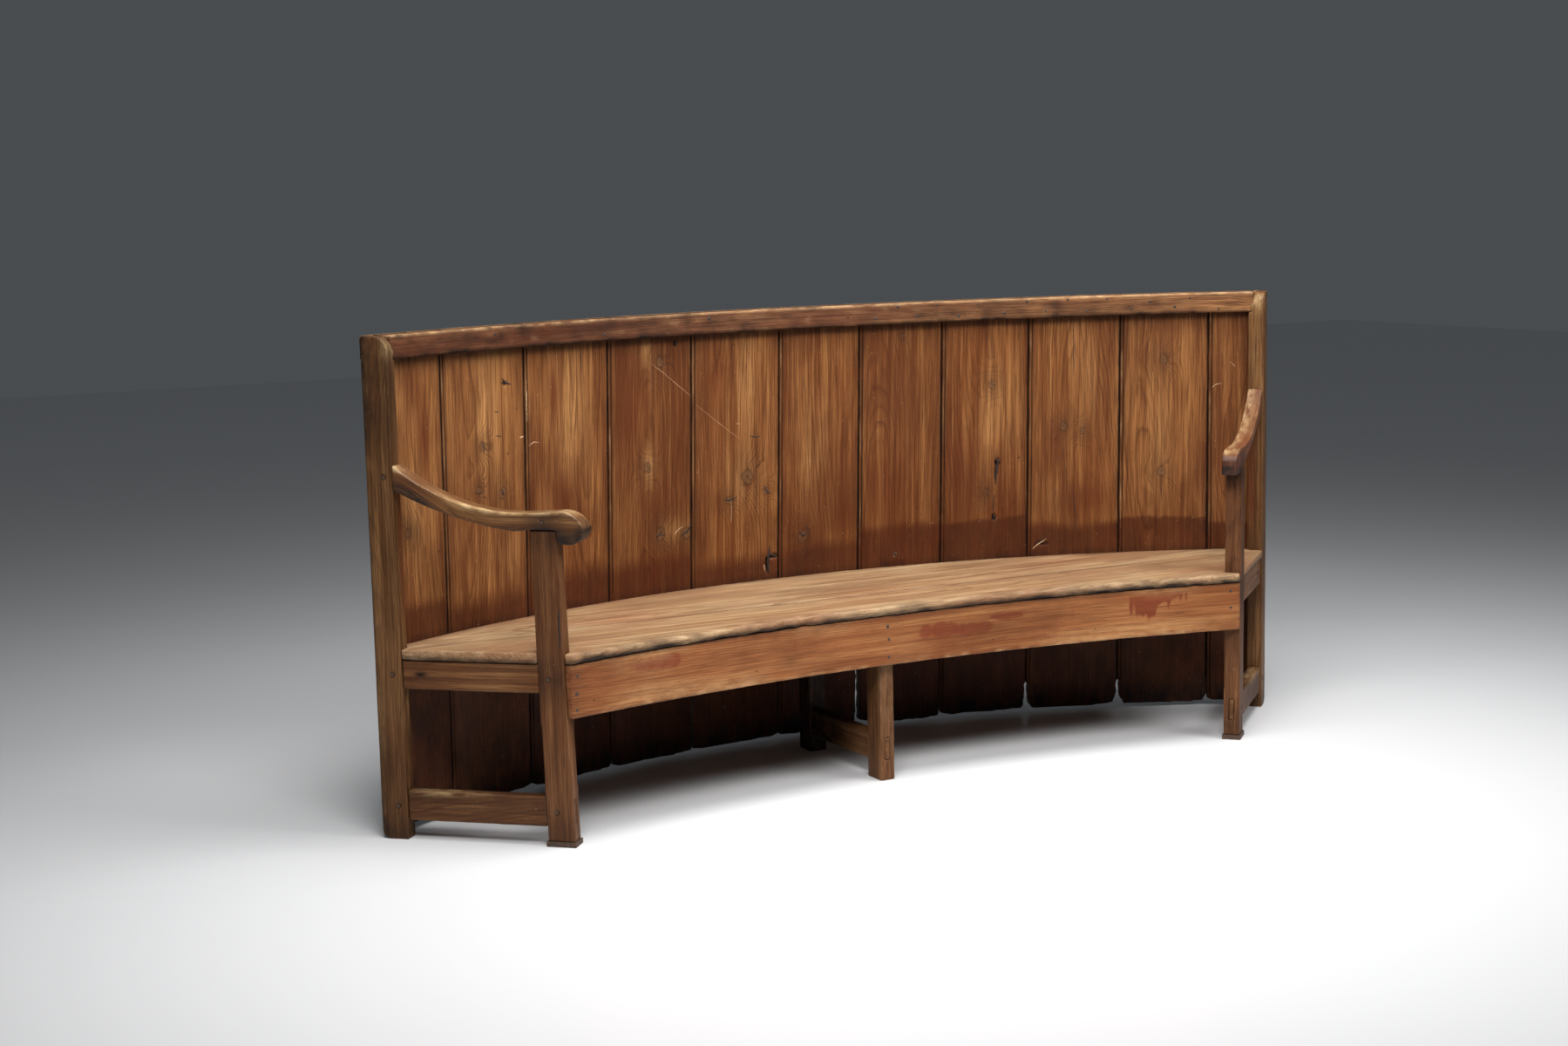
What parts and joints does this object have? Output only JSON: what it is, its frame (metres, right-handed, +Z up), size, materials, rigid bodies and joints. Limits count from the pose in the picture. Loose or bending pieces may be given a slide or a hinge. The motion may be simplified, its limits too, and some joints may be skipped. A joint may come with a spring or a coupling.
{
  "type": "bow-backed bench",
  "caption": "Curved pine bench with a tall boarded bow back, scrolled arms, a plank seat over a curved apron, and pegged end frames with stretchers.",
  "frame": {"origin": "centre of the bounding box, on the floor", "axes": "+X along the bench to the sitter's left as seen from the front (image right), +Y to the bowed back, +Z up"},
  "size_m": [2.6516, 0.7481, 1.186],
  "materials": {
    "board_pine": "satin",
    "rail_pine": "satin",
    "stile_pine": "satin",
    "post_pine": "satin",
    "foot_pad": "satin",
    "arm_pine": "satin",
    "peg_wood": "satin",
    "apron_pine": "satin",
    "seat_pine": "satin"
  },
  "bodies": {
    "root": {"back_board_01": "board_pine", "back_board_02": "board_pine", "back_board_03": "board_pine", "back_board_04": "board_pine", "back_board_05": "board_pine", "back_board_06": "board_pine", "back_board_07": "board_pine", "back_board_08": "board_pine", "back_board_09": "board_pine", "back_board_10": "board_pine", "back_board_11": "board_pine", "front_top_rail": "rail_pine", "rear_top_rail": "rail_pine", "left_stile": "stile_pine", "left_front_post": "post_pine", "left_foot_pad": "foot_pad", "left_arm": "arm_pine", "left_seat_rail": "rail_pine", "left_stretcher": "rail_pine", "left_pegs": "peg_wood", "right_stile": "stile_pine", "right_front_post": "post_pine", "right_foot_pad": "foot_pad", "right_arm": "arm_pine", "right_seat_rail": "rail_pine", "right_stretcher": "rail_pine", "right_pegs": "peg_wood", "front_apron": "apron_pine", "seat_front_board": "seat_pine", "seat_back_board": "seat_pine", "middle_front_leg": "post_pine", "middle_back_leg": "post_pine", "middle_stretcher": "rail_pine", "middle_bearer": "rail_pine"}
  },
  "joints": []
}
